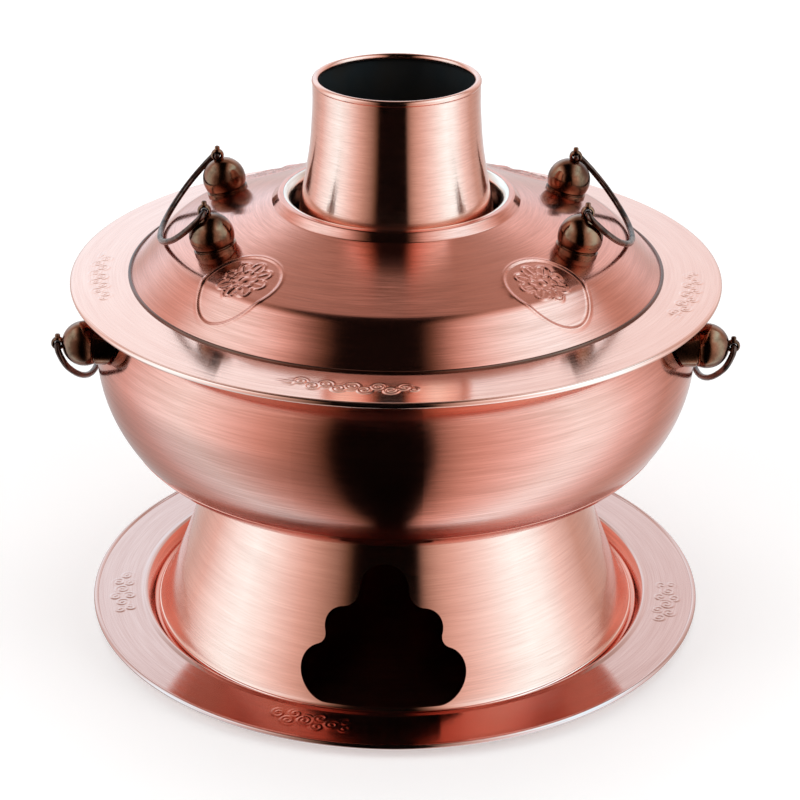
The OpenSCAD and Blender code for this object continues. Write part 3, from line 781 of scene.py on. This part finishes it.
def bailPath(look):
    # (along the hinge, out from it): a shallow arc, two shoulders, two bends and the ends in the eyes
    half, bend, turn = look["half"], bailLook["bend"], math.radians(look["turn"])
    deep = look["reach"] - bend
    s, c = math.sin(turn), math.cos(turn)
    det = s * c - (1 - s) * (1 - c)
    broad = (half * c - deep * (1 - s)) / det
    tight = (deep * s - half * (1 - c)) / det
    bottom = arcPoints((0, look["reach"] - broad), broad, 90, 90 - look["turn"], 26)
    shoulder = arcPoints((half - tight, bend), tight, 90 - look["turn"], 0, 26)
    corner = arcPoints((half - bend, bend), bend, 0, -90, 12)
    side = joinLines(bottom, shoulder, corner, [(look["stub"], 0)])
    return joinLines(side[::-1][:-1], side * [-1, 1])


def tubeShell(path, radius, sides=20):
    # circles of that radius square to a planar path, closed by a small dome at both ends
    tangent = np.gradient(path, axis=0)
    tangent /= np.linalg.norm(tangent, axis=1)[:, None]
    across = np.stack([-tangent[:, 1], tangent[:, 0]], -1)
    along, wide = np.array(bailLook["domeAlong"])[:, None], bailLook["domeWide"]
    centres = np.vstack([path[0] + tangent[0] * along, path[1:-1], path[-1] - tangent[-1] * along[::-1]])
    sizes = np.r_[wide, np.ones(len(path) - 2), wide[::-1]] * radius
    normals = np.vstack([across[[0, 0, 0]], across[1:-1], across[[-1, -1, -1]]])
    a = np.arange(sides) * fullTurn / sides
    ringY = centres[:, None, 0] + sizes[:, None] * np.cos(a) * normals[:, None, 0]
    ringOut = centres[:, None, 1] + sizes[:, None] * np.cos(a) * normals[:, None, 1]
    ringUp = sizes[:, None] * np.sin(a)
    points = np.stack([ringOut, ringY, ringUp + 0 * ringY], -1).reshape(-1, 3)
    rows = len(centres)
    faces = gridFaces(rows, sides, False, True).tolist()
    faces += [list(range(sides))[::-1], [(rows - 1) * sides + k for k in range(sides)]]
    return points, [f[::-1] for f in faces]


def makeBails():
    for kind in ("lid", "bowl"):
        look = bailLook[kind]
        shell = tubeShell(bailPath(look), bailLook["wire"])
        x, z = look["eye"]
        for side, sign in (("left", -1), ("right", 1)):
            points = shell[0] @ turnMatrix((0, 1, 0), look["drop"]).T
            points = points * [sign, 1, 1] + [sign * x, 0, z]
            faces = shell[1] if sign > 0 else [f[::-1] for f in shell[1]]
            node = kind + "_bail_" + side
            finishPiece(kind + "Bail" + side.capitalize(), [(points, faces)], node, node,
                        [wireMetal], 60)


def flangeFaces(obj, inner, low, high):
    # faces outside the inner radius and between the two heights take the second, smoother copper, whose tone
    # is partly painted light: painted highlight on the bowl's flange, painted shade on the tray's band
    centre = np.array([p.center for p in obj.data.polygons]) / mm
    r = np.hypot(centre[:, 0], centre[:, 1])
    flat = (r > inner) & (centre[:, 2] > low) & (centre[:, 2] < high)
    obj.data.polygons.foreach_set("material_index", flat.astype(np.int32))


makeLid()
makeCollar()
makeLidRing()
makeBowl()
makeTray()
makeStand()
makeChimney()
makeFireTube()
makePosts()
makeBails()

for mat, nodes in ((iron, "grate grate_ring"), (steelSmall, "lid_washers lid_nuts bowl_washers bowl_nuts")):
    for node in nodes.split():
        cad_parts[node].data.materials.clear()
        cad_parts[node].data.materials.append(mat)
print("pieces made")


# ---- floor, light and camera ----

stageLook = {
    "floor": 6.0, "floorDrop": 0.0002, "floorColour": 0.86, "floorGlow": 0.30,
    "glowFrom": 0.45, "glowTo": 2.4, "light": 0.55, "lampAim": (0, 0, 0.15),
    "lamps": [("leftBox", (-1.5, -0.55, 0.9), 0.9, 1.2, 10.0),
              ("rightBox", (1.5, -0.65, 0.9), 0.9, 1.2, 10.0),
              ("topBox", (0, 0.5, 1.7), 1.4, 1.0, 6.0)],
}


def makeFloor():
    half, low = stageLook["floor"], -stageLook["floorDrop"]
    corners = [(-half, -half, low), (half, -half, low), (half, half, low), (-half, half, low)]
    floor = makeObject("floor", corners, [[0, 1, 2, 3]])
    mat, tree, shader = newMaterial("paleFloor")
    shade = stageLook["floorColour"]
    shader.inputs["Base Color"].default_value = (shade, shade, shade, 1)
    shader.inputs["Roughness"].default_value = 0.9
    shader.inputs["Specular IOR Level"].default_value = 0.1
    path = addNode(tree, "ShaderNodeLightPath")
    coords = addNode(tree, "ShaderNodeTexCoord")
    away = addNode(tree, "ShaderNodeVectorMath", {0: coords.outputs["Object"]}, operation="LENGTH")
    paleness = mapRange(tree, away.outputs["Value"], stageLook["glowFrom"], stageLook["glowTo"],
                        stageLook["floorGlow"], 1.0)
    glow = addNode(tree, "ShaderNodeEmission", {
        "Strength": mathNode(tree, "MULTIPLY", path.outputs["Is Camera Ray"], paleness)})
    both = addNode(tree, "ShaderNodeAddShader", {0: shader.outputs[0], 1: glow.outputs[0]})
    clear = addNode(tree, "ShaderNodeBsdfTransparent")
    seen = addNode(tree, "ShaderNodeMixShader", {0: path.outputs["Is Glossy Ray"], 1: both.outputs[0],
                                                 2: clear.outputs[0]})
    tree.links.new(seen.outputs[0], tree.nodes["Material Output"].inputs["Surface"])
    floor.data.materials.append(mat)


studioLook = {
    # brightness of the studio at signed angles from the front (-Y), turning towards +X
    "ring": [(-180, 0.8), (-150, 0.7), (-135, 0.7), (-118, 1.0), (-100, 1.85), (-92, 2.1), (-84, 2.25),
             (-70, 1.8), (-60, 1.32), (-50, 0.88), (-40, 0.54), (-32, 0.31), (-27, 0.13), (-23, 0.01),
             (-20, 0.0), (12.5, 0.0), (16, 0.3), (20, 0.5), (26, 0.74), (32, 0.92), (40, 1.2), (50, 1.6),
             (60, 2.05), (70, 2.38), (82, 2.2), (98, 1.35), (118, 0.65), (135, 0.6), (150, 0.7), (180, 0.8)],
    # brightness overhead, by how far to the right it lies
    "top": [(-1.0, 2.3), (-0.73, 2.3), (-0.61, 1.7), (-0.54, 1.05), (-0.45, 0.4), (-0.36, 0.1), (-0.3, 0.0),
            (0.13, 0.0), (0.18, 0.1), (0.235, 0.32), (0.3, 0.75), (0.36, 1.15), (0.45, 1.75), (0.54, 2.3),
            (0.62, 2.7), (0.72, 2.9), (0.78, 2.2), (1.0, 2.0)],
    "backTop": 0.46, "backLeft": 1.6, "backRight": 1.15, "lowDim": 0.3,
    # the lamps' red and blue against their brightness: warm when dim, cool when bright
    "bright": (0.0, 0.15, 0.65, 1.0, 1.65, 2.4, 2.9),
    "red": (0.0, 0.19, 0.68, 0.93, 1.14, 1.25, 1.32),
    "blue": (0.0, 0.11, 0.63, 1.06, 1.95, 3.0, 3.8), "peak": 4.0,
}


def studioColour(tone):
    look = studioLook
    red, blue = (np.interp(tone, look["bright"], look[k]) for k in ("red", "blue"))
    return (red / look["peak"], tone / look["peak"], blue / look["peak"], 1)


def studioRamp(tree, place, stops):
    # a colour ramp with one stop for each (place from 0 to 1, brightness)
    tones = addNode(tree, "ShaderNodeValToRGB", {"Fac": place})
    ramp = tones.color_ramp
    while len(ramp.elements) < len(stops):
        ramp.elements.new(0.5)
    for element, (position, tone) in zip(ramp.elements, stops):
        element.position = position
        element.color = studioColour(tone)
    return tones.outputs[0]


def makeWorld():
    # white to the camera; to reflections two tall soft boxes, a dark gap between them and a bright back
    look = studioLook
    world = bpy.data.worlds.new("studio")
    world.use_nodes = True
    bpy.context.scene.world = world
    tree = world.node_tree
    plain = tree.nodes["Background"]
    plain.inputs["Color"].default_value = (1, 1, 1, 1)
    plain.inputs["Strength"].default_value = stageLook["light"]
    coords = addNode(tree, "ShaderNodeTexCoord")
    xyz = addNode(tree, "ShaderNodeSeparateXYZ", {0: coords.outputs["Generated"]})
    x, y, z = xyz.outputs
    swing = mathNode(tree, "ARCTAN2", x, mathNode(tree, "MULTIPLY", y, -1.0))
    turned = mathNode(tree, "MULTIPLY_ADD", swing, 1 / fullTurn, 0.5)
    ring = studioRamp(tree, turned, [(angle / 360 + 0.5, tone) for angle, tone in look["ring"]])
    lowLeft = mathNode(tree, "MULTIPLY", mapRange(tree, z, -0.3, -0.5), mapRange(tree, x, 0.0, -0.3))
    ring = mixColours(tree, mathNode(tree, "MULTIPLY", lowLeft, look["lowDim"]), ring, (0, 0, 0, 1))
    across = mathNode(tree, "MULTIPLY_ADD", x, 0.5, 0.5)
    front = studioRamp(tree, across, [(place / 2 + 0.5, tone) for place, tone in look["top"]])
    top = mixColours(tree, mapRange(tree, y, 0.36, 0.5), front, studioColour(look["backTop"]))
    sides = mixColours(tree, mapRange(tree, z, 0.5, 0.7), ring, top)
    back = mixColours(tree, mapRange(tree, x, -0.3, 0.3), studioColour(look["backLeft"]),
                      studioColour(look["backRight"]))
    upright = mathNode(tree, "MULTIPLY", mapRange(tree, z, 0.0, 0.22), mapRange(tree, z, 0.75, 0.55))
    wall = mathNode(tree, "MULTIPLY", mapRange(tree, y, 0.5, 0.8), upright)
    light = mixColours(tree, wall, sides, back)
    studio = addNode(tree, "ShaderNodeBackground", {"Color": light, "Strength": look["peak"]})
    white = addNode(tree, "ShaderNodeBackground", {"Color": (1, 1, 1, 1), "Strength": 1.0})
    path = addNode(tree, "ShaderNodeLightPath")
    mirrored = mathNode(tree, "MAXIMUM", path.outputs["Is Glossy Ray"], path.outputs["Is Transmission Ray"])
    first = addNode(tree, "ShaderNodeMixShader", {0: mirrored, 1: plain.outputs[0], 2: studio.outputs[0]})
    second = addNode(tree, "ShaderNodeMixShader", {0: path.outputs["Is Camera Ray"], 1: first.outputs[0],
                                                   2: white.outputs[0]})
    tree.links.new(second.outputs[0], tree.nodes["World Output"].inputs["Surface"])


def makeLamp(name, place, width, height, power):
    data = bpy.data.lights.new(name, "AREA")
    data.shape, data.size, data.size_y, data.energy = "RECTANGLE", width, height, power
    lamp = bpy.data.objects.new(name, data)
    bpy.context.scene.collection.objects.link(lamp)
    back = np.array(place, float) - np.array(stageLook["lampAim"], float)
    lamp.location = place
    lamp.visible_glossy = False
    lamp.rotation_euler = (math.acos(back[2] / np.linalg.norm(back)), 0, math.atan2(back[0], -back[1]))
    return lamp


cameraLook = {"place": (2.2, -1013.1, 588.8), "aim": (2.2, 0, 110.6), "lens": 99.07, "roll": 0.0041,
              "sensor": 36.0}


def makeCamera():
    look = cameraLook
    data = bpy.data.cameras.new("camera")
    data.sensor_width, data.lens = look["sensor"], look["lens"]
    camera = bpy.data.objects.new("camera", data)
    bpy.context.scene.collection.objects.link(camera)
    place, aim = np.array(look["place"]) * mm, np.array(look["aim"]) * mm
    back = place - aim
    tilt = math.acos(back[2] / np.linalg.norm(back))
    camera.location = place
    camera.rotation_mode = "QUATERNION"
    camera.rotation_quaternion = Euler((tilt, 0, 0)).to_quaternion() @ Quaternion((0, 0, 1), look["roll"])
    bpy.context.scene.camera = camera


makeFloor()
makeWorld()
for lampValues in stageLook["lamps"]:
    makeLamp(*lampValues)
makeCamera()
bpy.context.scene.view_settings.view_transform = "Standard"
print("stage made")
